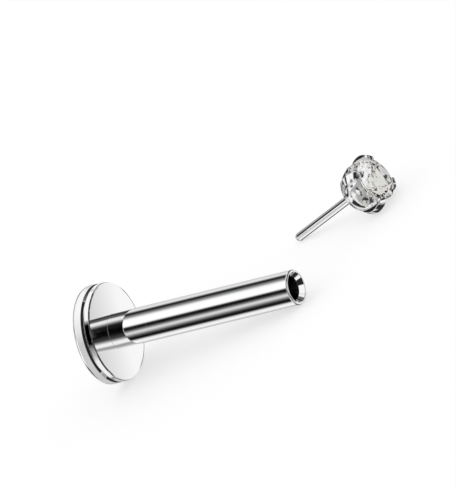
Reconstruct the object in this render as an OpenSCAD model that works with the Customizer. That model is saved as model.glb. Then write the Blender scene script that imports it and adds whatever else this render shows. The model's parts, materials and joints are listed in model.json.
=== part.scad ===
// Labret stud with a flat disc back and a push-fit top, taken apart.
// The post lies on its disc and mouth, and the top lies beside it on its head and pin.
// Millimetres. Origin at the floor, under the middle of the two pieces. Mouth towards +X.

/* [Tube] */
// Outside diameter of the tube
tube_d = 1.2; // [1.0:0.05:1.6]
// Length of the tube from the disc to the mouth
tube_l = 7.13; // [5:0.01:12]
// Radius of the rounded outer edge at the mouth
mouth_round = 0.05; // [0.02:0.01:0.07]
// Radius of the fillet where the tube leaves the disc
root_round = 0.02; // [0.01:0.01:0.1]
// Wall left round the countersink at the mouth
mouth_wall = 0.1; // [0.08:0.01:0.13]
// Angle of the countersink from the axis
sink_angle = 45; // [35:1:60]
// Wall left at the bottom of the countersink, where the throat begins
throat_wall = 0.19; // [0.15:0.01:0.25]
// Length over which the throat narrows to the bore
throat_l = 0.9; // [0.5:0.1:2]

/* [Disc] */
// Outside diameter of the disc at its back edge
disc_d = 3.4; // [2.5:0.01:5]
// Thickness of the disc
disc_t = 0.7; // [0.52:0.01:0.9]
// How far the rim's wall leans in towards the front
wall_lean = 0.01; // [0.01:0.005:0.06]
// Width of the groove between the wall and the lip
groove_w = 0.07; // [0.04:0.01:0.1]
// Depth of the groove
groove_depth = 0.035; // [0.02:0.005:0.05]
// Height of the slanted lip in front of the groove
lip_h = 0.26; // [0.1:0.01:0.27]
// How far the lip leans in
lip_lean = 0.018; // [0.01:0.002:0.06]
// How far the face falls from the tube to the lip
face_fall = 0.028; // [0.01:0.002:0.06]
// Radius of the rounded back edge
back_round = 0.12; // [0.04:0.01:0.14]

/* [Pin] */
// Diameter of the pin
pin_d = 0.28; // [0.24:0.01:0.5]
// Length of the pin behind the setting
pin_l = 3.05; // [2:0.05:4]
// Gap all round the pin when it is pushed into the bore
pin_play = 0.06; // [0.03:0.01:0.1]
// Radius of the fillet where the pin meets the setting
pin_root = 0.06; // [0.03:0.01:0.1]

/* [Stone] */
// Diameter of the stone
stone_d = 1.54; // [1.4:0.02:1.7]
// Height of the middle of the girdle above the back of the cup
girdle_z = 1.05; // [1.0:0.01:1.15]
// Thickness of the girdle
girdle_t = 0.04; // [0.02:0.005:0.06]
// Width of the table as a share of the stone
table_share = 0.56; // [0.5:0.01:0.62]
// Angle of the crown's main facets
crown_angle = 31; // [28:0.5:36]
// Angle of the pavilion's main facets
pavilion_angle = 40.8; // [39:0.2:42]
// Length of the star facets as a share of the crown
star_share = 0.5; // [0.4:0.05:0.6]
// Length of the lower girdle facets as a share of the pavilion
lower_share = 0.77; // [0.7:0.01:0.85]
// Gap all round the stone in its setting
stone_play = 0.015; // [0.01:0.005:0.03]

/* [Cup] */
// Radius of the cup where its rounded back edge ends
cup_back_r = 0.7; // [0.6:0.01:0.8]
// How far the cup is wider than the stone at its widest
cup_margin = 0.115; // [0.08:0.005:0.15]
// Height of the cup's widest place above its back
cup_wide_z = 0.75; // [0.65:0.01:0.85]
// Radius of the cup's rounded back edge
cup_round = 0.12; // [0.06:0.01:0.14]
// Thickness of the cup's wall
cup_wall = 0.1; // [0.08:0.01:0.14]
// Thickness of the cup's floor
cup_floor = 0.2; // [0.16:0.01:0.24]
// Gap between the top of the cup's fingers and the girdle
finger_gap = 0.03; // [0.01:0.01:0.08]
// Width of the opening between two claws, at its sill
window_w = 0.72; // [0.6:0.02:0.8]
// Height of the sill of the openings above the back
window_z = 0.47; // [0.4:0.01:0.6]
// Radius of the lower corners of the openings
window_round = 0.2; // [0.1:0.01:0.28]
// Angle by which the sides of the openings lean apart
window_flare = 9; // [0:1:14]

/* [Claws] */
// How far the claws stand out of the cup at their widest
claw_proud = 0.155; // [0.1:0.005:0.2]
// Height of the claws' widest place above the back of the cup
claw_wide_z = 0.68; // [0.6:0.01:0.75]
// Radius of the bow of a claw, seen from the side
claw_bow = 0.6; // [0.55:0.01:0.7]
// Thickness of a claw
claw_t = 0.17; // [0.14:0.01:0.22]
// Width of a claw at its foot
claw_foot_w = 0.26; // [0.2:0.01:0.32]
// Width of a claw near its tip
claw_tip_w = 0.31; // [0.24:0.01:0.36]
// How far the tips reach above the middle of the girdle
claw_reach = 0.13; // [0.1:0.01:0.18]

/* [Places] */
// Distance from the mouth to the back of the cup, along the post
top_ahead = 0.8; // [0.5:0.1:4]
// Distance from the axis of the post to the back of the cup, across the post
top_aside = 4.6; // [3.4:0.1:8]
// Direction of the pin's axis, turned from the post's
top_turn = 2; // [-20:1:20]
// Roll of the top, within the play of its round cup between two claws
top_roll = -4; // [-4:0.5:4]

/* [Hidden] */
round_fn = 48;
small_fn = 32;
cut = 4;
claws = 4;
mains = 8;

tube_r = tube_d / 2;
disc_r = disc_d / 2;
pin_r = pin_d / 2;
post_l = disc_t + tube_l;
bore_r = pin_r + pin_play;
sink_r = tube_r - mouth_wall;
throat_r = tube_r - throat_wall;
sink_l = (sink_r - throat_r) / tan(sink_angle);
wall_r = disc_r - wall_lean;
lip_r = wall_r - lip_lean;
lip_z = disc_t - lip_h;

stone_r = stone_d / 2;
cup_wide_r = stone_r + cup_margin;
claw_wide_r = cup_wide_r + claw_proud;
table_r = stone_r * table_share;
crown_h = (stone_r - table_r) * tan(crown_angle);
half_step = 180 / mains;
quarter_step = half_step / 2;

// Bow of the cup's wall: an arc that is upright at its widest place
cup_rise = cup_wide_z - cup_round;
cup_in = cup_wide_r - cup_back_r;
cup_bow = (cup_in * cup_in + cup_rise * cup_rise) / (2 * cup_in);
finger_z = girdle_z - girdle_t / 2 - finger_gap;
tip_z = girdle_z + claw_reach;

// Radius of a bowed surface of revolution at a height
function bow_r(wide_r, wide_z, bow, z) = wide_r - bow + sqrt(bow * bow - pow(z - wide_z, 2));

// Angle between an axis and the floor, when two rounded rings on the axis lie on the floor.
// Each ring is [radius, place on the axis, rounding].
function lie_angle(big, small) =
    atan2(big[0] - small[0], abs(small[1] - big[1]))
    + asin((big[2] - small[2]) / norm([big[0] - small[0], small[1] - big[1]]));
// Height of the axis at its zero, with the far end lowered by an angle
function lie_height(ring, angle) = ring[0] * cos(angle) + ring[1] * sin(angle) + ring[2];

// The post lies on a corner of the disc's rim and on the mouth
rim_corners = [[wall_r, lip_z - groove_w, 0], [wall_r, lip_z, 0], [lip_r, disc_t - face_fall, 0]];
mouth_ring = [tube_r - mouth_round, post_l - mouth_round, mouth_round];
post_tilt = max([for (corner = rim_corners) lie_angle(corner, mouth_ring)]);
post_rise = lie_height(mouth_ring, post_tilt);

// The top lies on the sill of an opening, or on the edges of two bowed claws, and on the pin's tip
pin_ring = [0, pin_l - pin_r, pin_r];
sill_ring = [bow_r(cup_wide_r, cup_wide_z, cup_bow, window_z), -window_z, 0];
sill_tilt = lie_angle(sill_ring, pin_ring);
claw_side = 180 / claws - abs(top_roll) - asin(claw_foot_w / 2 / claw_wide_r);
claw_round = claw_bow * norm([cos(claw_side) * cos(sill_tilt), sin(sill_tilt)]);
claw_ring = [(claw_wide_r - claw_bow) * cos(claw_side), -claw_wide_z, claw_round];
top_tilt = max(sill_tilt, lie_angle(claw_ring, pin_ring));
top_rise = lie_height(pin_ring, top_tilt);

// Middle of the two pieces on the floor
mouth_x = post_l * cos(post_tilt);
head_x = mouth_x + top_ahead;
left_x = back_round * cos(post_tilt) - (disc_r - back_round) * sin(post_tilt) - back_round;
right_x = head_x + (girdle_z + crown_h) * cos(top_tilt) * cos(top_turn);
front_y = -disc_r;
back_y = top_aside + claw_wide_z * cos(top_tilt) * sin(top_turn) + claw_wide_r * cos(claw_side);
middle = [(left_x + right_x) / 2, (front_y + back_y) / 2, 0];

// Corner of a square that a rounding replaces, as a plane shape to cut away or add
module corner(r) {
    difference() {
        square(r);
        circle(r = r, $fn = small_fn);
    }
}

module disc_outline() {
    difference() {
        polygon([
            [0, 0],
            [disc_r, 0],
            [wall_r, lip_z - groove_w],
            [wall_r - groove_depth, lip_z - groove_w / 2],
            [wall_r, lip_z],
            [lip_r, disc_t - face_fall],
            [tube_r, disc_t],
            [0, disc_t]
        ]);
        translate([disc_r - back_round, back_round]) mirror([0, 1]) corner(back_round);
    }
}

module tube_outline() {
    difference() {
        union() {
            square([tube_r, post_l]);
            translate([tube_r + root_round, disc_t + root_round]) rotate(180) corner(root_round);
        }
        translate([tube_r - mouth_round, post_l - mouth_round]) corner(mouth_round);
    }
}

// The bore runs through the tube down to the disc, and widens over the throat to the countersink
module bore_outline() {
    polygon([
        [0, disc_t],
        [bore_r, disc_t],
        [bore_r, post_l - sink_l - throat_l],
        [throat_r, post_l - sink_l],
        [sink_r, post_l],
        [sink_r, post_l + cut],
        [0, post_l + cut]
    ]);
}

// Disc and tube turned from one piece, standing on the disc
module post_shape() {
    rotate_extrude($fn = round_fn) {
        difference() {
            union() {
                disc_outline();
                tube_outline();
            }
            bore_outline();
        }
    }
}

// Half section of a bowed solid of revolution, from a height to a height.
// Only the arc's outer half counts.
module bow_outline(wide_r, wide_z, bow, from_z, to_z) {
    middle_r = wide_r - bow;
    intersection() {
        translate([middle_r, wide_z]) circle(r = bow, $fn = round_fn);
        translate([max(0, middle_r), from_z]) square([cut, to_z - from_z]);
    }
}

// Half section of the cup as if it were solid
module cup_outline() {
    bow_outline(cup_wide_r, cup_wide_z, cup_bow, cup_round, finger_z);
    square([cup_back_r - cup_round, cup_round]);
    intersection() {
        translate([cup_back_r - cup_round, cup_round]) circle(r = cup_round, $fn = small_fn);
        square([cut, cup_round]);
    }
}

// Hollow inside the cup
module hollow() {
    rotate_extrude($fn = round_fn)
        bow_outline(cup_wide_r - cup_wall, cup_wide_z, cup_bow - cup_wall, cup_floor, finger_z);
}

// Opening between two claws, seen along the radius: a slot with rounded lower corners,
// whose sides lean apart
module window_outline() {
    corner_x = window_w / 2 - window_round;
    corner_z = window_z + window_round;
    side_x = corner_x + window_round * cos(window_flare);
    side_z = corner_z - window_round * sin(window_flare);
    top_x = side_x + cut * tan(window_flare);
    polygon([
        [-corner_x, window_z],
        [corner_x, window_z],
        [side_x, side_z],
        [top_x, side_z + cut],
        [-top_x, side_z + cut],
        [-side_x, side_z]
    ]);
    for (side = [-1, 1])
        translate([side * corner_x, corner_z]) circle(r = window_round, $fn = small_fn);
}

module cup() {
    difference() {
        rotate_extrude($fn = round_fn) cup_outline();
        for (k = [0 : claws - 1])
            rotate((k + 0.5) * 360 / claws)
                rotate([90, 0, 90]) linear_extrude(cut) window_outline();
    }
}

// Claw seen along the radius: a strap that widens to a round tip
module claw_outline() {
    tip_r = claw_tip_w / 2;
    polygon([
        [-claw_foot_w / 2, 0],
        [claw_foot_w / 2, 0],
        [tip_r, tip_z - tip_r],
        [-tip_r, tip_z - tip_r]
    ]);
    translate([0, tip_z - tip_r]) circle(r = tip_r, $fn = small_fn);
}

module claws() {
    intersection() {
        rotate_extrude($fn = round_fn) difference() {
            bow_outline(claw_wide_r, claw_wide_z, claw_bow, 0, cut);
            bow_outline(claw_wide_r - claw_t, claw_wide_z, claw_bow - claw_t, 0, cut);
        }
        for (k = [0 : claws - 1])
            rotate(k * 360 / claws)
                rotate([90, 0, 90]) linear_extrude(cut) claw_outline();
    }
}

module pin() {
    rotate_extrude($fn = round_fn) {
        translate([0, pin_r - pin_l]) square([pin_r, pin_l - pin_r + cup_floor / 2]);
        translate([pin_r + pin_root, -pin_root]) rotate(90) corner(pin_root);
        intersection() {
            translate([0, pin_r - pin_l]) circle(r = pin_r, $fn = small_fn);
            translate([0, -pin_l]) square([pin_r, pin_r]);
        }
    }
}

// Room for the stone: its cone, girdle and crown, larger all round by the play
module stone_room() {
    room_r = stone_r + stone_play;
    half_t = girdle_t / 2 + stone_play;
    rotate_extrude($fn = round_fn)
        polygon([
            [0, girdle_z - half_t - room_r * tan(pavilion_angle)],
            [room_r, girdle_z - half_t],
            [room_r, girdle_z + half_t],
            [0, girdle_z + half_t + room_r * tan(crown_angle)]
        ]);
}

// Pin, cup and claws soldered into one piece, with the cup's back at zero and the stone upwards
module setting_shape() {
    difference() {
        union() {
            pin();
            cup();
            claws();
        }
        hollow();
        stone_room();
    }
}

// Eight-sided pyramid. Its sides face the azimuth and every eighth of a turn from there,
// and pass at radius r and height z with a slope from the level.
module facets(azimuth, slope, r, z) {
    side_r = r + stone_r / tan(slope);
    rotate(azimuth - half_step) translate([0, 0, z - stone_r])
        cylinder(r1 = side_r / cos(half_step), r2 = 0, h = side_r * tan(slope), $fn = mains);
}

// Crown facets over the girdle: mains, stars and two sets of upper girdle facets
module crown_facets() {
    top = girdle_t / 2;
    chord_r = stone_r * cos(quarter_step);
    table_mid_r = table_r * cos(half_step);
    star_r = table_mid_r + star_share * (stone_r - table_mid_r);
    star_z = top + (stone_r - star_r * cos(half_step)) * tan(crown_angle);
    star_slope = atan((top + crown_h - star_z) / (star_r - table_mid_r));
    upper_slope = atan((star_z - top) / (chord_r - star_r * cos(quarter_step)));
    intersection() {
        facets(0, crown_angle, stone_r, top);
        facets(half_step, star_slope, table_mid_r, top + crown_h);
        facets(quarter_step, upper_slope, chord_r, top);
        facets(-quarter_step, upper_slope, chord_r, top);
    }
}

// Pavilion facets, drawn upwards: mains and two sets of lower girdle facets
module pavilion_facets() {
    top = girdle_t / 2;
    chord_r = stone_r * cos(quarter_step);
    lower_r = (1 - lower_share) * stone_r;
    lower_z = top + (stone_r - lower_r * cos(half_step)) * tan(pavilion_angle);
    lower_slope = atan((lower_z - top) / (chord_r - lower_r * cos(quarter_step)));
    intersection() {
        facets(0, pavilion_angle, stone_r, top);
        facets(quarter_step, lower_slope, chord_r, top);
        facets(-quarter_step, lower_slope, chord_r, top);
    }
}

// Round brilliant, with the middle of its girdle at zero and its table upwards
module stone_shape() {
    intersection() {
        translate([0, 0, -stone_r])
            cylinder(r = stone_r, h = stone_r + girdle_t / 2 + crown_h, $fn = round_fn);
        crown_facets();
        mirror([0, 0, 1]) pavilion_facets();
    }
}

// Puts an upright piece where the post lies
module lay_post() {
    translate([0, 0, post_rise] - middle) rotate([0, 90 + post_tilt, 0]) children();
}

// Puts an upright piece where the top lies
module lay_top() {
    translate([head_x, top_aside, top_rise] - middle)
        rotate([0, 0, top_turn]) rotate([0, 90 - top_tilt, 0])
            rotate(180 / claws + top_roll) children();
}

module flat_back_post() {
    color("silver") lay_post() post_shape();
}

module claw_setting() {
    color("gainsboro") lay_top() setting_shape();
}

module stone() {
    color("aliceblue") lay_top() translate([0, 0, girdle_z]) stone_shape();
}

flat_back_post();
claw_setting();
stone();
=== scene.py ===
"""Dresses a flat-back labret stud and the loose top beside it in polished steel and cut zirconia."""

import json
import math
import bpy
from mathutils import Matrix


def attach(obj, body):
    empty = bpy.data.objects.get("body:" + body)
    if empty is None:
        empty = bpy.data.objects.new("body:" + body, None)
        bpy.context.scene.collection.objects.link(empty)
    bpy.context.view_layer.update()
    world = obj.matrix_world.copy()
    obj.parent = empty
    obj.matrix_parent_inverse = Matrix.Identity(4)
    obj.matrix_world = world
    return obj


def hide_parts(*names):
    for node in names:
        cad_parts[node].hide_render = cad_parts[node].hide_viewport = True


bl_info = {
    "name": "Labret Stud",
    "version": (1, 0, 0),
    "blender": (4, 5, 0),
    "location": "View3D > Sidebar > Labret Stud",
    "description": "Flat-back post, claw setting and round brilliant, with finishes and a light studio",
    "category": "Add Mesh",
}

from itertools import zip_longest
from types import SimpleNamespace

import bmesh
import bpy
import numpy as np
from bpy.props import FloatProperty, FloatVectorProperty, PointerProperty
from mathutils import Matrix, Vector

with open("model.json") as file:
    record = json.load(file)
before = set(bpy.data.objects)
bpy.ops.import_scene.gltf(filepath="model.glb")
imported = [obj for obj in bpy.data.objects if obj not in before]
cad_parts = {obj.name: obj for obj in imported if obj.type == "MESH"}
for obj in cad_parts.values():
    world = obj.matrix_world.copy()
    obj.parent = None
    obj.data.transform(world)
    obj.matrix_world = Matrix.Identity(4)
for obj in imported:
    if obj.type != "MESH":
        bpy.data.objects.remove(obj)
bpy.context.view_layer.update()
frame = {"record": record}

MM = 0.001
BODY = "root"
STEEL_SLOT = "polished_steel"
STONE_SLOT = "clear_stone"

# Places of the colour sockets among all the sockets of a mix node.
MIX_INPUTS = (6, 7)
MIX_OUTPUT = 2

MOUNTS = {mount["name"]: mount for mount in frame["record"]["mounts"]}


def mount_place(name):
    """Position of a mount in millimetres and its direction."""
    return Vector(MOUNTS[name]["pos_m"]) / MM, Vector(MOUNTS[name]["axis"]).normalized()


def mount_size(name, key):
    """A size of a mount in millimetres."""
    return MOUNTS[name]["dims"][key]


def length(name, description, mm):
    """Property for a length, with its default given in millimetres."""
    return FloatProperty(name=name, description=description, default=mm * MM, min=0.0, unit="LENGTH",
                         precision=6)


def angle(name, description, degrees):
    """Property for an angle, with its default given in degrees."""
    return FloatProperty(name=name, description=description, default=math.radians(degrees), subtype="ANGLE")


def share(name, description, value, low=0.0, high=1.0):
    """Property for a number without a unit."""
    return FloatProperty(name=name, description=description, default=value, min=low, max=high,
                         subtype="FACTOR")


def colour(name, description, value):
    """Property for a linear colour."""
    return FloatVectorProperty(name=name, description=description, default=value, subtype="COLOR",
                               min=0.0, max=1.0)


def pixels(name, description, value):
    """Property for a place or a size in the picture."""
    return FloatProperty(name=name, description=description, default=value)


class PostSizes(bpy.types.PropertyGroup):
    """Sizes of the disc and the tube."""

    disc_r: length("Disc radius", "Radius of the flat disc at its back edge", 1.7)
    disc_t: length("Disc thickness", "Thickness of the disc with its lip", 0.7)
    wall_lean: length("Wall lean", "How far the rim's wall leans in towards the front", 0.016)
    groove_w: length("Groove width", "Width of the groove between the wall and the lip", 0.15)
    groove_depth: length("Groove depth", "Depth of the groove", 0.075)
    groove_edge: length("Groove edge", "Rounding of the groove's edges", 0.004)
    lip_h: length("Lip height", "Height of the slanted lip in front of the groove", 0.2)
    lip_lean: length("Lip lean", "How far the lip leans in", 0.017)
    bevel_l: length("Bevel length", "Length of the steep bevel round the lip's front edge", 0.028)
    bevel_angle: angle("Bevel angle", "Slope of the steep bevel against the face", 65)
    break_l: length("Edge break", "Length of the shallow bevel between the steep one and the face", 0.04)
    break_angle: angle("Edge break angle", "Slope of the shallow bevel against the face", 12)
    lip_edge: length("Lip edge", "Rounding of the edges of both bevels", 0.005)
    face_fall: length("Face fall", "How far the bulged face falls from the tube to the lip", 0.028)
    back_round: length("Back rounding", "Radius of the rounded back edge", 0.12)
    tube_r: length("Tube radius", "Outside radius of the tube", mount_size("post_shank", "r_mm"))
    bore_r: length("Bore radius", "Radius of the bore that takes the pin", mount_size("post_bore", "r_mm"))
    sink_r: length("Countersink radius", "Radius of the countersink at the mouth", 0.525)
    sink_l: length("Countersink depth", "Depth of the countersink", 0.16)
    throat_r: length("Throat radius", "Radius of the bore's wide mouth below the countersink", 0.4)
    funnel_l: length("Funnel length", "Length over which the throat narrows to the bore", 0.9)
    root_edge: length("Root edge", "Rounding of the corner where the tube leaves the disc", 0.003)
    mouth_round: length("Mouth rounding", "Radius of the tube's outer edge at the mouth", 0.05)
    sink_edge: length("Countersink edge", "Rounding of the countersink's edges", 0.02)
    bore_edge: length("Bore edge", "Rounding where the funnel ends", 0.01)


class SettingSizes(bpy.types.PropertyGroup):
    """Sizes of the pin, the cup and the claws."""

    pin_r: length("Pin radius", "Radius of the straight pin", mount_size("top_pin", "r_mm"))
    pin_l: length("Pin length", "Length of the pin behind the cup", 3.05)
    pin_root: length("Pin fillet", "Fillet where the pin meets the cup", 0.06)
    cup_back_r: length("Cup back radius", "Radius of the cup's foot", 0.7)
    cup_wide_r: length("Cup radius", "Radius of the cup at its widest", 0.885)
    cup_wide_z: length("Cup's widest place", "Height of the cup's widest place above its back", 0.75)
    cup_round: length("Cup rounding", "Radius of the cup's rounded back edge", 0.12)
    cup_wall: length("Cup wall", "Thickness of the cup's wall", 0.1)
    cup_floor: length("Cup floor", "Thickness of the cup's floor", 0.2)
    finger_z: length("Finger height", "Height of the cup's wall beside the claws", 1.0)
    window_w: length("Window width", "Width of the opening between two claws, at its sill", 0.72)
    window_z: length("Window sill", "Height of the sill above the cup's back", 0.47)
    window_round: length("Window rounding", "Radius of the lower corners of an opening", 0.2)
    window_flare: angle("Window flare", "Angle by which the sides of an opening lean apart", 9)
    claw_wide_r: length("Claw radius", "Distance of a claw's face from the axis at its widest", 1.04)
    claw_wide_z: length("Claw's widest place", "Height of a claw's widest place above the cup's back", 0.68)
    claw_bow: length("Claw bow", "Radius of a claw's bow, seen from the side", 0.6)
    claw_t: length("Claw thickness", "Thickness of a claw", 0.17)
    claw_foot_w: length("Claw foot width", "Width of a claw at its foot", 0.26)
    claw_tip_w: length("Claw tip width", "Width of a claw near its tip", 0.31)
    tip_z: length("Claw height", "Height of the claws' tips above the cup's back", 1.18)
    edge: length("Edge rounding", "Rounding of the edges of the cup and the claws", 0.014)
    solder: length("Solder fillet", "Fillet where a claw meets the cup", 0.03)
    stone_play: length("Stone play", "Gap all round the stone", 0.015)
    grain: length("Mesh step", "Distance between neighbouring points of the setting's mesh", 0.014)
    top_turn: angle("Top turn", "Turn of the top round its pin, from a claw underneath", 41)


class StoneSizes(bpy.types.PropertyGroup):
    """Sizes of the round brilliant."""

    stone_r: length("Stone radius", "Radius of the stone at its girdle", 0.77)
    girdle_z: length("Girdle height", "Height of the girdle's middle above the back of the cup", 1.05)
    girdle_t: length("Girdle thickness", "Thickness of the girdle", 0.04)
    table_share: share("Table share", "Width of the table as a share of the stone", 0.56)
    crown_angle: angle("Crown angle", "Angle of the crown's main facets", 31)
    pavilion_angle: angle("Pavilion angle", "Angle of the pavilion's main facets", 40.8)
    star_share: share("Star share", "Length of the star facets as a share of the crown", 0.5)
    lower_share: share("Lower share", "Length of the lower girdle facets as a share of the pavilion", 0.77)


class Finishes(bpy.types.PropertyGroup):
    """Colours and gloss of the steel, the stone and the floor."""

    steel: colour("Steel", "Colour of the polished steel", (0.93, 0.93, 0.935))
    steel_gloss: share("Steel roughness", "Roughness of the polished steel", 0.03)
    # Painted shade: this dark colour stands for the shade deep inside the tube's bore.
    bore: colour("Bore", "Colour of the drilled steel inside the tube", (0.09, 0.09, 0.095))
    stone: colour("Stone", "Colour of the clear zirconia", (1.0, 0.99, 0.995))
    stone_ior: share("Refraction", "Refraction index, below zirconia's for calm facets", 1.65, 1.0, 3.0)
    floor: colour("Floor", "Colour of the pale floor", (0.45, 0.45, 0.45))
    floor_glow: share("Floor glow", "Light that the lit floor gives by itself", 0.57, 0.0, 2.0)
    stone_rose: colour("Rose light", "Light seen through the stone from below", (0.82, 0.68, 0.78))
    stone_green: colour("Green light", "Light seen through the stone from above", (0.8, 0.87, 0.74))
    stone_share: share("Stone light share", "How far the rose and green light replace the studio's", 0.97)
    stone_depth: share("Stone depth", "Turns after which a ray counts as inside the stone", 3.5, 0.0, 9.0)
    floor_light: share("Floor light", "Strength of the even light that falls on the floor", 1.0, 0.0, 4.0)


class StudioPlace(bpy.types.PropertyGroup):
    """Where the camera stands and how it frames the stud."""

    azimuth: angle("Azimuth", "Direction of the camera, from the front towards the right", 37.5)
    elevation: angle("Elevation", "Height of the camera above the floor, as an angle", 20.18)
    roll: angle("Roll", "Turn of the camera round its line of sight", -37.74)
    lens: FloatProperty(name="Lens", description="Focal length of the camera", default=1300.0,
                        subtype="DISTANCE_CAMERA")
    picture_h: pixels("Picture height", "Height of the picture in pixels", 500.0)
    picture_w: pixels("Picture width", "Width of the picture in pixels", 456.0)
    scale: pixels("Scale", "Pixels to a millimetre at the mouth of the tube", 30.26)
    mouth_x: pixels("Mouth across", "Pixel column of the middle of the mouth", 296.5)
    mouth_y: pixels("Mouth down", "Pixel row of the middle of the mouth", 287.1)
    floor_w: length("Floor width", "Width of the floor", 3000.0)


def millimetres(group):
    """The lengths of a group in millimetres, and its other values as they are."""
    values = {}
    for key in type(group).__annotations__:
        value = getattr(group, key)
        values[key] = value / MM if group.bl_rna.properties[key].unit == "LENGTH" else value
    return SimpleNamespace(**values)


def rounded(corners, hold=0.003, steps=10):
    """Outline of (radius, height) points through corners of (radius, height, rounding)."""
    points = [Vector(corners[0][:2])]
    for before, here, after in zip(corners, corners[1:], corners[2:]):
        corner = Vector(here[:2])
        if not here[2]:
            points.append(corner)
            continue
        back = (Vector(before[:2]) - corner).normalized()
        ahead = (Vector(after[:2]) - corner).normalized()
        half = back.angle(ahead) / 2
        reach = here[2] / math.tan(half)
        centre = corner + (back + ahead).normalized() * here[2] / math.sin(half)
        start = corner + back * reach - centre
        sweep = start.angle_signed(corner + ahead * reach - centre)
        points.append(corner + back * (reach + hold))
        for k in range(steps + 1):
            points.append(centre + Matrix.Rotation(-sweep * k / steps, 2) @ start)
        points.append(corner + ahead * (reach + hold))
    points.append(Vector(corners[-1][:2]))
    return points


def lathe(outline, turns=224):
    """Closed mesh turned from an outline that starts and ends on the axis."""
    mesh = bmesh.new()
    ends = [mesh.verts.new((0, 0, outline[0].y)), mesh.verts.new((0, 0, outline[-1].y))]
    rings = []
    for point in outline[1:-1]:
        ring = []
        for k in range(turns):
            turn = math.tau * k / turns
            ring.append(mesh.verts.new((point.x * math.cos(turn), point.x * math.sin(turn), point.y)))
        rings.append(ring)
    for k in range(turns):
        n = (k + 1) % turns
        mesh.faces.new((ends[0], rings[0][n], rings[0][k]))
        mesh.faces.new((ends[1], rings[-1][k], rings[-1][n]))
        for low, high in zip(rings, rings[1:]):
            mesh.faces.new((low[k], low[n], high[n], high[k]))
    bmesh.ops.recalc_face_normals(mesh, faces=mesh.faces)
    for face in mesh.faces:
        face.smooth = True
    return mesh


def standing(axis, down_azimuth=0.0):
    """Turns the upright form to an axis, with one of its azimuths facing down."""
    down = (-Vector((0, 0, 1)) + axis * axis.z).normalized()
    side = axis.cross(down)
    x = down * math.cos(down_azimuth) - side * math.sin(down_azimuth)
    return Matrix((x, axis.cross(x), axis)).transposed()


def show(name, mesh, origin, turn, materials, slot, node, normals=None):
    """Makes an object of a mesh in millimetres, puts it in its place and has it stand for a node."""
    data = bpy.data.meshes.new(name)
    mesh.to_mesh(data)
    mesh.free()
    data.transform(Matrix.Scale(MM, 4) @ Matrix.Translation(origin) @ turn.to_4x4())
    if normals is not None:
        data.normals_split_custom_set_from_vertices([turn @ Vector(n) for n in normals])
    for material in materials:
        data.materials.append(material)
    piece = bpy.data.objects.new(name, data)
    bpy.context.scene.collection.objects.link(piece)
    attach(piece, BODY)
    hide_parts(node)
    return piece


def post_length(s):
    """Length of the post in millimetres, from the back of the disc to the mouth of the tube."""
    middle, _ = mount_place("post_shank")
    back, _ = mount_place("disc_back")
    return (middle - back).length + mount_size("post_shank", "length_mm") / 2 + s.mouth_round


def post_outline(s, face_points=12):
    """Half section of the disc and the hollow tube, from the middle of the back to the end of the bore."""

    def bulge(r):
        return r, s.disc_t - s.face_fall * (r / lip_r) ** 2

    post_l = post_length(s)
    wall_r = s.disc_r - s.wall_lean
    lip_z = s.disc_t - s.lip_h
    lip_r = wall_r - s.lip_lean
    bevel_r = lip_r - s.bevel_l * math.cos(s.bevel_angle)
    face_r = bevel_r - s.break_l * math.cos(s.break_angle)
    face_z = bulge(face_r)[1]
    bevel_z = face_z - s.break_l * math.sin(s.break_angle)
    face_radii = np.linspace(face_r, s.tube_r, face_points + 2)[1:-1]
    return rounded([
        (0, 0, 0),
        (s.disc_r, 0, s.back_round),
        (wall_r, lip_z - s.groove_w, s.groove_edge),
        (wall_r - s.groove_depth, lip_z - s.groove_w / 2, s.groove_edge),
        (wall_r, lip_z, s.groove_edge),
        (lip_r, bevel_z - s.bevel_l * math.sin(s.bevel_angle), s.lip_edge),
        (bevel_r, bevel_z, s.lip_edge),
        (face_r, face_z, s.lip_edge),
        *((*bulge(r), 0) for r in face_radii),
        (*bulge(s.tube_r), s.root_edge),
        (s.tube_r, post_l, s.mouth_round),
        (s.sink_r, post_l, s.sink_edge),
        (s.throat_r, post_l - s.sink_l, s.sink_edge),
        (s.bore_r, post_l - s.sink_l - s.funnel_l, s.bore_edge),
        (s.bore_r, s.disc_t, s.bore_edge),
        (0, s.disc_t, 0),
    ])


def round_cut(a, b, rounding):
    """Common part of two solids, with the edge between them rounded."""
    over = np.hypot(np.maximum(a + rounding, 0), np.maximum(b + rounding, 0))
    return np.minimum(-rounding, np.maximum(a, b)) + over


def round_join(a, b, rounding):
    """Two solids joined, with a fillet between them."""
    return -round_cut(-a, -b, rounding)


def bowed(r, z, wide_r, wide_z, bow):
    """Distance outside a bowed surface of revolution that is upright at its widest place."""
    return np.hypot(r - (wide_r - bow), z - wide_z) - bow


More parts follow.
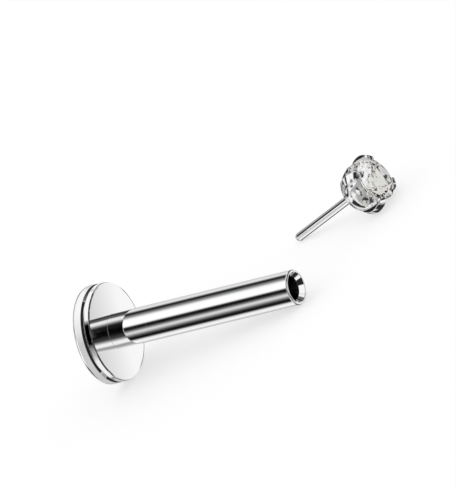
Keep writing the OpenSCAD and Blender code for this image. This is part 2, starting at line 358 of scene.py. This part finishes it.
def setting_field(s, stone):
    """Signed distance, below zero inside the metal of the pin, the cup and the claws."""
    cup_rise = s.cup_wide_z - s.cup_round
    cup_in = s.cup_wide_r - s.cup_back_r
    cup_bow = (cup_in ** 2 + cup_rise ** 2) / (2 * cup_in)
    claw_middle = s.claw_wide_r - s.claw_bow
    tip_r = s.claw_tip_w / 2
    room_r = stone.stone_r + s.stone_play
    room_t = stone.girdle_t / 2 + s.stone_play

    def cup(r, z):
        bowl = np.maximum(bowed(r, z, s.cup_wide_r, s.cup_wide_z, cup_bow), s.cup_round - z)
        foot = round_cut(r - s.cup_back_r, np.maximum(-z, z - 2 * s.cup_round), s.cup_round)
        body = round_cut(round_join(bowl, foot, s.solder), z - s.finger_z, s.edge)
        hollow = np.maximum(bowed(r, z, s.cup_wide_r - s.cup_wall, s.cup_wide_z, cup_bow - s.cup_wall),
                            s.cup_floor - z)
        return round_cut(body, -hollow, s.edge)

    def window(across, z):
        rise = z - s.window_z
        side = (across - s.window_w / 2 - rise * math.tan(s.window_flare)) * math.cos(s.window_flare)
        return round_cut(side, -rise, s.window_round)

    def claw(r, across, z):
        strap = np.maximum(bowed(r, z, s.claw_wide_r, s.claw_wide_z, s.claw_bow), claw_middle - r)
        inner = bowed(r, z, s.claw_wide_r - s.claw_t, s.claw_wide_z, s.claw_bow - s.claw_t)
        rise = z - (s.tip_z - tip_r)
        half_w = tip_r - (s.claw_tip_w - s.claw_foot_w) / 2 * np.clip(-rise / s.tip_z, 0, 1)
        outline = np.where(rise > 0, np.hypot(across, rise) - tip_r, across - half_w)
        return round_cut(np.maximum(strap, -inner), outline, s.edge)

    def pin(r, z):
        return np.hypot(r, z - np.clip(z, s.pin_r - s.pin_l, s.cup_floor / 2)) - s.pin_r

    def stone_room(r, z):
        low = stone.girdle_z - room_t - room_r * math.tan(stone.pavilion_angle)
        high = stone.girdle_z + room_t + room_r * math.tan(stone.crown_angle)
        cone = r * math.sin(stone.pavilion_angle) - (z - low) * math.cos(stone.pavilion_angle)
        crown = r * math.sin(stone.crown_angle) + (z - high) * math.cos(stone.crown_angle)
        return np.maximum(np.maximum(cone, crown), r - room_r)

    def field(x, y, z):
        x, y = abs(x), abs(y)
        r = np.hypot(x, y)
        metal = round_cut(cup(r, z), -window(abs(x - y) / math.sqrt(2), z), s.edge)
        metal = round_join(metal, claw(r, np.minimum(x, y), z), s.solder)
        metal = round_join(metal, pin(r, z), s.pin_root)
        return round_cut(metal, -stone_room(r, z), s.stone_play)

    return field


def surface_net(field, low, high, step, passes=5, pull=0.8, least_slope=0.5):
    """Closed mesh on the zero surface of a field, with its points drawn onto it in a few passes."""

    def at_corner(grid, corner):
        return grid[tuple(slice(o, o + n) for o, n in zip(corner, cells))]

    axes = [np.arange(a, b + step, step) for a, b in zip(low, high)]
    values = field(*np.meshgrid(*axes, indexing="ij", sparse=True))
    inside = values < 0
    cells = tuple(n - 1 for n in values.shape)
    total = np.zeros(cells + (3,))
    count = np.zeros(cells)
    corners = [np.array(c) for c in np.ndindex(2, 2, 2)]
    for along in range(3):
        for start in corners:
            if start[along]:
                continue
            end = start.copy()
            end[along] = 1
            a, b = at_corner(values, start), at_corner(values, end)
            crossed = at_corner(inside, start) != at_corner(inside, end)
            part = np.where(crossed, a / np.where(crossed, a - b, 1), 0)
            for k in range(3):
                total[..., k] += np.where(crossed, start[k] + (part if k == along else 0), 0)
            count += crossed
    used = count > 0
    index = np.cumsum(used.ravel()).reshape(cells) - 1
    points = (np.argwhere(used) + total[used] / count[used][:, None]) * step + np.array(low)
    faces = []
    for along in range(3):
        u, v = [k for k in range(3) if k != along]
        here = [slice(1, -1)] * 3
        there = [slice(1, -1)] * 3
        here[along] = slice(0, -1)
        there[along] = slice(1, None)
        a, b = inside[tuple(here)], inside[tuple(there)]
        for flip, edges in ((False, a & ~b), (True, ~a & b)):
            spots = np.argwhere(edges) + 1
            spots[:, along] -= 1
            ring = []
            for du, dv in ((1, 1), (0, 1), (0, 0), (1, 0)):
                cell = spots.copy()
                cell[:, u] -= du
                cell[:, v] -= dv
                ring.append(index[tuple(cell.T)])
            if flip != (along == 1):
                ring.reverse()
            faces.append(np.stack(ring, axis=1))
    nudge = step / 20
    for _ in range(passes):
        slopes = field_slopes(field, points, nudge)
        steep = np.maximum((slopes ** 2).sum(1), least_slope ** 2)
        points = points - slopes * (field(*points.T) / steep)[:, None] * pull
    slopes = field_slopes(field, points, nudge)
    return points, np.concatenate(faces), slopes / np.linalg.norm(slopes, axis=1)[:, None]


def field_slopes(field, points, nudge):
    """Gradient of a field at each point."""
    slopes = np.empty_like(points)
    for k in range(3):
        move = np.zeros(3)
        move[k] = nudge
        slopes[:, k] = (field(*(points + move).T) - field(*(points - move).T)) / (2 * nudge)
    return slopes


def stone_planes(s):
    """Facets of a round brilliant: azimuth, slope, radius, height, and 1 if it faces up or -1 if down."""
    half_step = math.pi / 8
    quarter_step = half_step / 2
    top = s.girdle_t / 2
    table_r = s.stone_r * s.table_share
    crown_h = (s.stone_r - table_r) * math.tan(s.crown_angle)
    chord_r = s.stone_r * math.cos(quarter_step)
    table_mid_r = table_r * math.cos(half_step)
    star_r = table_mid_r + s.star_share * (s.stone_r - table_mid_r)
    star_z = top + (s.stone_r - star_r * math.cos(half_step)) * math.tan(s.crown_angle)
    star_slope = math.atan2(top + crown_h - star_z, star_r - table_mid_r)
    upper_slope = math.atan2(star_z - top, chord_r - star_r * math.cos(quarter_step))
    lower_r = (1 - s.lower_share) * s.stone_r
    lower_z = top + (s.stone_r - lower_r * math.cos(half_step)) * math.tan(s.pavilion_angle)
    lower_slope = math.atan2(lower_z - top, chord_r - lower_r * math.cos(quarter_step))
    yield 0, 0, 0, top + crown_h, 1
    for k in range(8):
        turn = k * 2 * half_step
        yield turn, s.crown_angle, s.stone_r, top, 1
        yield turn + half_step, star_slope, table_mid_r, top + crown_h, 1
        yield turn, s.pavilion_angle, s.stone_r, top, -1
        for side in (-quarter_step, quarter_step):
            yield turn + side, upper_slope, chord_r, top, 1
            yield turn + side, lower_slope, chord_r, top, -1


def cut_stone(s, turns=128):
    """Closed mesh of the stone, cut facet by facet from a round blank, with its girdle's middle at zero."""
    mesh = bmesh.new()
    bmesh.ops.create_cone(mesh, cap_ends=True, segments=turns, radius1=s.stone_r, radius2=s.stone_r,
                          depth=2 * s.stone_r)
    for azimuth, slope, r, z, up in stone_planes(s):
        outward = Vector((math.cos(azimuth), math.sin(azimuth), 0))
        upright = Vector((0, 0, up))
        whole = list(mesh.verts) + list(mesh.edges) + list(mesh.faces)
        cut = bmesh.ops.bisect_plane(mesh, geom=whole, dist=1e-6, plane_co=outward * r + upright * z,
                                     plane_no=outward * math.sin(slope) + upright * math.cos(slope),
                                     clear_outer=True)
        rim = [part for part in cut["geom_cut"] if isinstance(part, bmesh.types.BMEdge)]
        bmesh.ops.contextual_create(mesh, geom=rim)
    bmesh.ops.recalc_face_normals(mesh, faces=mesh.faces)
    for face in mesh.faces:
        on_girdle = abs(face.normal.z) < 0.1
        face.smooth = on_girdle
    return mesh


def add(tree, kind, inputs=(), **settings):
    """Adds a shader node with its settings, and sets or links its inputs."""
    made = tree.nodes.new(kind)
    for key, value in settings.items():
        setattr(made, key, value)
    for key, value in dict(inputs).items():
        if isinstance(value, bpy.types.NodeSocket):
            tree.links.new(value, made.inputs[key])
        else:
            made.inputs[key].default_value = value
    return made


def mixed(tree, factor, first, second):
    """Mix of two colours, each of them a socket or a colour."""
    made = add(tree, "ShaderNodeMix", {"Factor": factor}, data_type="RGBA")
    for place, value in zip(MIX_INPUTS, (first, second)):
        if isinstance(value, bpy.types.NodeSocket):
            tree.links.new(value, made.inputs[place])
        else:
            made.inputs[place].default_value = (*value, 1)
    return made.outputs[MIX_OUTPUT]


def grey(light):
    """Colour without a hue."""
    return light, light, light


def uneven(tree, noise, low, high, to_low, to_high):
    """Value that follows a noise, with the noise between two limits spread over a new range."""
    made = add(tree, "ShaderNodeMapRange", {"Value": noise.outputs["Fac"], "From Min": low, "From Max": high,
                                            "To Min": to_low, "To Max": to_high})
    return made.outputs["Result"]


def new_material(name):
    """New material, its node tree and its principled shader."""
    material = bpy.data.materials.new(name)
    material.use_nodes = True
    return material, material.node_tree, material.node_tree.nodes["Principled BSDF"]


def steel_material(look):
    """Mirror-polished steel with faint buffing marks."""
    material, tree, shader = new_material("polished_steel")
    shader.inputs["Base Color"].default_value = (*look.steel, 1)
    shader.inputs["Metallic"].default_value = 1.0
    place = add(tree, "ShaderNodeTexCoord").outputs["Object"]
    haze = add(tree, "ShaderNodeTexNoise", {"Vector": place, "Scale": 1800.0, "Detail": 3.0})
    gloss = uneven(tree, haze, 0.3, 0.7, look.steel_gloss * 0.6, look.steel_gloss * 1.4)
    tree.links.new(gloss, shader.inputs["Roughness"])
    drawn = add(tree, "ShaderNodeMapping", {"Vector": place, "Scale": (6000.0, 60000.0, 60000.0)})
    marks = add(tree, "ShaderNodeTexNoise", {"Vector": drawn.outputs["Vector"], "Scale": 1.0, "Detail": 2.0})
    bump = add(tree, "ShaderNodeBump", {"Height": marks.outputs["Fac"], "Strength": 0.02, "Distance": 2e-6})
    tree.links.new(bump.outputs["Normal"], shader.inputs["Normal"])
    return material


def bore_shade_material(look):
    """Drilled steel inside the tube, left unpolished, with a dark colour that paints the shade deep in the
    bore.
    """
    material, tree, shader = new_material("bore_painted_shade")
    shader.inputs["Metallic"].default_value = 1.0
    # Painted shade: the dark base colour stands for the shade deep in the bore.
    shader.inputs["Base Color"].default_value = (*look.bore, 1)
    place = add(tree, "ShaderNodeTexCoord").outputs["Object"]
    chatter = add(tree, "ShaderNodeTexNoise", {"Vector": place, "Scale": 9000.0, "Detail": 3.0})
    tree.links.new(uneven(tree, chatter, 0.3, 0.7, 0.12, 0.3), shader.inputs["Roughness"])
    return material


def stone_material(look):
    """Clear cut zirconia with a trace of handling haze."""
    material, tree, shader = new_material("clear_stone")
    shader.inputs["Base Color"].default_value = (*look.stone, 1)
    shader.inputs["Transmission Weight"].default_value = 1.0
    shader.inputs["IOR"].default_value = look.stone_ior
    place = add(tree, "ShaderNodeTexCoord").outputs["Object"]
    haze = add(tree, "ShaderNodeTexNoise", {"Vector": place, "Scale": 2500.0, "Detail": 2.0})
    tree.links.new(uneven(tree, haze, 0.45, 0.75, 0.0, 0.02), shader.inputs["Roughness"])
    return material


def floor_material(look):
    """Matt pale floor with a faint mottle."""
    material, tree, shader = new_material("pale_floor")
    shader.inputs["Roughness"].default_value = 0.9
    shader.inputs["Emission Color"].default_value = (1, 1, 1, 1)
    shader.inputs["Emission Strength"].default_value = look.floor_glow
    place = add(tree, "ShaderNodeTexCoord").outputs["Object"]
    mottle = add(tree, "ShaderNodeTexNoise", {"Vector": place, "Scale": 40.0, "Detail": 2.0})
    tint = mixed(tree, mottle.outputs["Fac"], look.floor, [0.99 * part for part in look.floor])
    tree.links.new(tint, shader.inputs["Base Color"])
    return material


# Stops of the light in which the disc's polished face shows the tube's mirror image.
MIRRORED_TUBE = (
    (-150, 0.9), (-126, 0.49), (-104, 0.33), (-86, 1.0), (-69, 1.0), (-55, 0.38), (-42, 0.06), (-29, 0.04),
    (-16, 0.007), (8, 0.0), (46, 0.016), (60, 0.27), (74, 0.92), (90, 0.95), (101, 0.16), (135, 0.012),
    (150, 0.3), (163, 0.95))

# Lights and dark flags stand in rings round the post's axis, each named after what shows it. A ring fades
# in between two places along the axis, where -1 is behind the disc and 1 is ahead of the mouth, so the first
# one is there from the start. Its stops are degrees from the camera's side, upwards positive, and light.
RINGS = (
    ("lamp behind", -1.2, -1.1, (
        (-180, 0.75), (180, 0.75))),
    ("flag", -0.992, -0.986, (
        (-180, 0.03), (180, 0.03))),
    ("cup", -0.97, -0.955, (
        (-180, 0.5), (-130, 0.6), (-100, 0.9), (-60, 1.0), (0, 0.9), (60, 0.8), (140, 0.7), (180, 0.5))),
    ("pin", -0.88, -0.86, (
        (-180, 0.05), (-160, 0.05), (-140, 0.7), (-125, 0.9), (-114, 0.03), (-76, 0.03), (-66, 1.0),
        (-4, 1.0), (8, 0.02), (62, 0.02), (82, 0.4), (96, 0.6), (120, 0.6), (132, 0.06), (180, 0.05))),
    ("claw foot", -0.76, -0.74, (
        (-180, 0.05), (-160, 0.05), (-140, 0.7), (-125, 0.9), (-114, 0.03), (-76, 0.03), (-66, 1.0),
        (100, 1.0), (120, 0.5), (130, 0.06), (180, 0.05))),
    ("tube", -0.54, -0.53, (
        (-180, 0.5), (-137, 0.62), (-123, 1.0), (-101, 0.88), (-91, 0.27), (-83, 0.01), (-74, 0.004),
        (-67, 0.02), (-59, 0.09), (-52, 0.24), (-45, 0.47), (-38, 0.72), (-31, 0.67), (-25, 0.35),
        (-18, 0.13), (-12, 0.03), (-6, 0.005), (0, 0.003), (6, 0.1), (12, 0.8), (18, 1.08), (45, 1.08),
        (52, 1.03), (60, 0.78), (67, 0.43), (74, 0.24), (83, 0.1), (91, 0.003), (101, 0.04), (110, 0.44),
        (118, 0.85), (180, 0.5))),
    ("wall", -0.5, -0.485, (
        (-180, 0.55), (-60, 0.64), (-10, 0.62), (20, 0.85), (60, 1.0), (120, 1.0), (180, 0.7))),
    ("lip", -0.43, -0.4, (
        (-180, 0.03), (-120, 0.03), (-110, 0.9), (-80, 0.95), (-56, 0.9), (-40, 0.5), (-26, 0.3),
        (-14, 0.0), (28, 0.0), (34, 0.3), (40, 1.0), (115, 1.0), (125, 0.03), (180, 0.03))),
    ("side", -0.18, -0.1, (
        (-180, 0.03), (-120, 0.03), (-110, 0.8), (-75, 0.12), (-45, 0.4), (-20, 0.3), (0, 0.05), (14, 0.9),
        (50, 1.0), (85, 0.15), (105, 0.8), (125, 0.03), (180, 0.03))),
    ("claw bar", -0.06, 0.0, (
        (-180, 0.03), (-170, 0.03), (-164, 0.6), (-160, 0.6), (-154, 0.03), (-144, 0.03), (-138, 0.9),
        (-132, 0.9), (-126, 0.03), (-100, 0.03), (-90, 0.7), (-60, 1.0), (-20, 0.7), (5, 0.3), (20, 0.9),
        (32, 0.9), (38, 0.03), (62, 0.03), (70, 0.6), (88, 0.7), (98, 0.03), (118, 0.03), (126, 0.6),
        (134, 0.6), (142, 0.03), (154, 0.03), (160, 0.7), (165, 0.7), (170, 0.03), (180, 0.03))),
    ("bevel", 0.08, 0.12, (
        (-180, 0.03), (-170, 0.03), (-164, 0.8), (-152, 0.9), (-144, 0.03), (-44, 0.03), (-36, 0.8),
        (-10, 1.0), (25, 0.8), (36, 0.8), (42, 0.03), (94, 0.03), (100, 0.7), (112, 0.7), (118, 0.03),
        (148, 0.03), (154, 0.8), (164, 0.8), (170, 0.03), (180, 0.03))),
    ("groove", 0.25, 0.3, (
        (-180, 1.0), (-150, 0.9), (-142, 0.03), (-100, 0.03), (-88, 1.0), (-69, 1.0), (-55, 0.38),
        (-42, 0.06), (8, 0.0), (46, 0.016), (60, 0.27), (74, 0.92), (90, 0.95), (101, 0.1), (135, 0.012),
        (150, 0.3), (163, 0.95), (180, 1.0))),
    ("mirror", 0.43, 0.45, ((-180, 1.0), *MIRRORED_TUBE, (180, 1.0))),
    ("face", 0.5, 0.59, ((-180, 0.6), *MIRRORED_TUBE, (167, 0.6), (180, 0.6))),
    ("cup floor", 0.575, 0.588, (
        (-180, 0.6), (-150, 0.9), (-104, 0.9), (-98, 0.02), (-10, 0.02), (-4, 1.0), (70, 1.0), (78, 0.02),
        (125, 0.02), (135, 0.3), (150, 0.42), (180, 0.6))),
    ("mouth", 0.64, 0.68, (
        (-180, 0.02), (-140, 0.02), (-130, 1.0), (-106, 1.0), (-98, 0.02), (-12, 0.02), (-6, 1.0),
        (56, 1.0), (64, 0.02), (180, 0.02))),
    ("front", 0.74, 0.76, (
        (-180, 0.02), (180, 0.02))),
    ("lamp ahead", 0.9, 0.93, (
        (-180, 0.8), (180, 0.8))),
)


def ring_light(tree, turn, name, stops):
    """Light of a ring at each turn round the axis."""
    ramp = add(tree, "ShaderNodeValToRGB", {"Fac": turn}, label=name)
    elements = ramp.color_ramp.elements
    while len(elements) > 1:
        elements.remove(elements[0])
    for k, (degrees, light) in enumerate(stops):
        place = degrees / 360 + 0.5
        stop = elements[0] if k == 0 else elements.new(place)
        stop.position = place
        stop.color = (*grey(light), 1)
    return ramp.outputs["Color"]


def inside_stone(tree, path, look):
    """Share of the stone's own light on a ray: high once it has passed into the stone or turned often."""

    def maths(operation, first, second):
        return add(tree, "ShaderNodeMath", {0: first, 1: second}, operation=operation).outputs["Value"]

    deep = maths("GREATER_THAN", path.outputs["Ray Depth"], look.stone_depth)
    passed = maths("MINIMUM", maths("MAXIMUM", path.outputs["Transmission Depth"], deep), 1.0)
    return maths("MULTIPLY", passed, look.stone_share)


def studio_light(look, axis, towards):
    """Soft light with strips and flags that run along the post, as a polished tube is lit."""
    world = bpy.data.worlds.new("studio")
    bpy.context.scene.world = world
    world.use_nodes = True
    tree = world.node_tree
    tree.nodes.clear()
    level = (towards - axis * axis.dot(towards)).normalized()
    above = axis.cross(level)
    above = above if above.z > 0 else -above
    ray = add(tree, "ShaderNodeTexCoord").outputs["Generated"]
    up, near, along = (
        add(tree, "ShaderNodeVectorMath", {0: ray, 1: way}, operation="DOT_PRODUCT").outputs["Value"]
        for way in (above, level, axis))
    turn = add(tree, "ShaderNodeMath", {0: up, 1: near}, operation="ARCTAN2").outputs["Value"]
    turn = add(tree, "ShaderNodeMapRange", {"Value": turn, "From Min": -math.pi, "From Max": math.pi})
    turn = turn.outputs["Result"]
    light = grey(0.0)
    for name, begin, full, stops in RINGS:
        fade = add(tree, "ShaderNodeMapRange", {"Value": along, "From Min": begin, "From Max": full})
        light = mixed(tree, fade.outputs["Result"], light, ring_light(tree, turn, name, stops))
    path = add(tree, "ShaderNodeLightPath")
    fire = mixed(tree, turn, look.stone_rose, look.stone_green)
    light = mixed(tree, inside_stone(tree, path, look), light, fire)
    light = mixed(tree, path.outputs["Is Diffuse Ray"], light, grey(look.floor_light))
    light = mixed(tree, path.outputs["Is Camera Ray"], light, grey(1.0))
    shade = add(tree, "ShaderNodeBackground", {"Color": light, "Strength": 1.0})
    add(tree, "ShaderNodeOutputWorld", {"Surface": shade.outputs["Background"]})


def sizes(kind):
    """The values of one of the scene's groups, in millimetres."""
    return millimetres(getattr(bpy.context.scene, "labret_" + kind))


class LABRET_OT_post(bpy.types.Operator):
    """Turn the flat disc and the hollow tube in one piece"""

    bl_idname = "labret.post"
    bl_label = "Flat-back Post"

    def execute(self, context):
        back, outward = mount_place("disc_back")
        s = sizes("post")
        look = sizes("finish")
        mesh = lathe(post_outline(s))
        # Faces inside the funnel and the bore take the second material, whose dark colour is painted shade.
        for face in mesh.faces:
            middle = face.calc_center_median()
            face.material_index = int(middle.xy.length < s.throat_r and middle.z > s.disc_t - s.bore_edge)
        show("post_turned", mesh, back, standing(-outward), (steel_material(look), bore_shade_material(look)),
             STEEL_SLOT, "flat_back_post")
        return {"FINISHED"}


def top_place():
    """Place of the back of the cup in millimetres, and the turn of the loose top."""
    s = sizes("setting")
    middle, tipward = mount_place("top_pin")
    reach = s.pin_root + mount_size("top_pin", "length_mm") / 2
    return middle - tipward * reach, standing(-tipward, -s.top_turn)


class LABRET_OT_setting(bpy.types.Operator):
    """Form the pin, the cup and the claws as one soldered piece"""

    bl_idname = "labret.setting"
    bl_label = "Claw Setting"

    def execute(self, context):
        s = sizes("setting")
        margin = 3 * s.grain
        reach = s.claw_wide_r + margin
        low = (-reach, -reach, -s.pin_l - margin)
        high = (reach, reach, s.tip_z + margin)
        points, faces, normals = surface_net(setting_field(s, sizes("stone")), low, high, s.grain)
        data = bpy.data.meshes.new("setting")
        data.from_pydata(points.tolist(), [], faces.tolist())
        mesh = bmesh.new()
        mesh.from_mesh(data)
        bpy.data.meshes.remove(data)
        for face in mesh.faces:
            face.smooth = True
        show("setting_soldered", mesh, *top_place(), (steel_material(sizes("finish")),), STEEL_SLOT,
             "claw_setting", normals.tolist())
        return {"FINISHED"}


class LABRET_OT_stone(bpy.types.Operator):
    """Cut the round brilliant facet by facet"""

    bl_idname = "labret.stone"
    bl_label = "Round Brilliant"

    def execute(self, context):
        s = sizes("stone")
        back, turn = top_place()
        show("stone_cut", cut_stone(s), back + turn @ Vector((0, 0, s.girdle_z)), turn,
             (stone_material(sizes("finish")),), STONE_SLOT, "stone")
        return {"FINISHED"}


class LABRET_OT_stage(bpy.types.Operator):
    """Set up the pale floor, the studio light and the camera"""

    bl_idname = "labret.stage"
    bl_label = "Studio Stage"

    def execute(self, context):
        s = sizes("studio")
        look = sizes("finish")
        data = bpy.data.meshes.new("floor")
        half = s.floor_w / 2 * MM
        corners = [(-half, -half, 0), (half, -half, 0), (half, half, 0), (-half, half, 0)]
        data.from_pydata(corners, [], [(0, 1, 2, 3)])
        data.materials.append(floor_material(look))
        floor = bpy.data.objects.new("floor", data)
        floor.visible_glossy = False
        context.scene.collection.objects.link(floor)

        turn = (Matrix.Rotation(s.azimuth, 3, "Z") @ Matrix.Rotation(math.pi / 2 - s.elevation, 3, "X")
                @ Matrix.Rotation(s.roll, 3, "Z"))
        right, up, back = turn.transposed()
        disc, outward = mount_place("disc_back")
        mouth = disc - outward * post_length(sizes("post"))
        across = (s.picture_w / 2 - s.mouth_x) / s.scale
        down = (s.mouth_y - s.picture_h / 2) / s.scale
        camera = bpy.data.cameras.new("camera")
        camera.lens = s.lens
        distance = camera.lens / camera.sensor_width * s.picture_h / s.scale
        camera.clip_end = 100.0
        holder = bpy.data.objects.new("camera", camera)
        aim = mouth + right * across + up * down
        holder.matrix_world = Matrix.Translation((aim + back * distance) * MM) @ turn.to_4x4()
        context.scene.collection.objects.link(holder)
        context.scene.camera = holder
        context.scene.view_settings.view_transform = "Standard"
        studio_light(look, -outward, back)
        return {"FINISHED"}


class LABRET_PT_stud(bpy.types.Panel):
    """Lists the pieces of the stud and their sizes"""

    bl_label = "Labret Stud"
    bl_space_type = "VIEW_3D"
    bl_region_type = "UI"
    bl_category = "Labret Stud"

    def draw(self, context):
        for group, operator in zip_longest(GROUPS, OPERATORS):
            box = self.layout.box()
            if operator:
                box.operator(operator.bl_idname)
            values = getattr(context.scene, group)
            for key in type(values).__annotations__:
                box.prop(values, key)


# The operators stand in the order of their groups. The finishes have none of their own.
GROUPS = {
    "labret_studio": StudioPlace,
    "labret_post": PostSizes,
    "labret_setting": SettingSizes,
    "labret_stone": StoneSizes,
    "labret_finish": Finishes,
}
OPERATORS = (LABRET_OT_stage, LABRET_OT_post, LABRET_OT_setting, LABRET_OT_stone)


def register():
    """Adds the groups of sizes, the operators and the panel to Blender."""
    for group in GROUPS.values():
        bpy.utils.register_class(group)
    for name, group in GROUPS.items():
        setattr(bpy.types.Scene, name, PointerProperty(type=group))
    for operator in OPERATORS:
        bpy.utils.register_class(operator)
    bpy.utils.register_class(LABRET_PT_stud)


def unregister():
    """Takes them away again."""
    bpy.utils.unregister_class(LABRET_PT_stud)
    for operator in reversed(OPERATORS):
        bpy.utils.unregister_class(operator)
    for name, group in GROUPS.items():
        delattr(bpy.types.Scene, name)
        bpy.utils.unregister_class(group)


def main():
    """Builds the stage and the pieces."""
    register()
    bpy.ops.labret.stage()
    bpy.ops.labret.post()
    bpy.ops.labret.setting()
    bpy.ops.labret.stone()


if __name__ == "__main__":
    main()
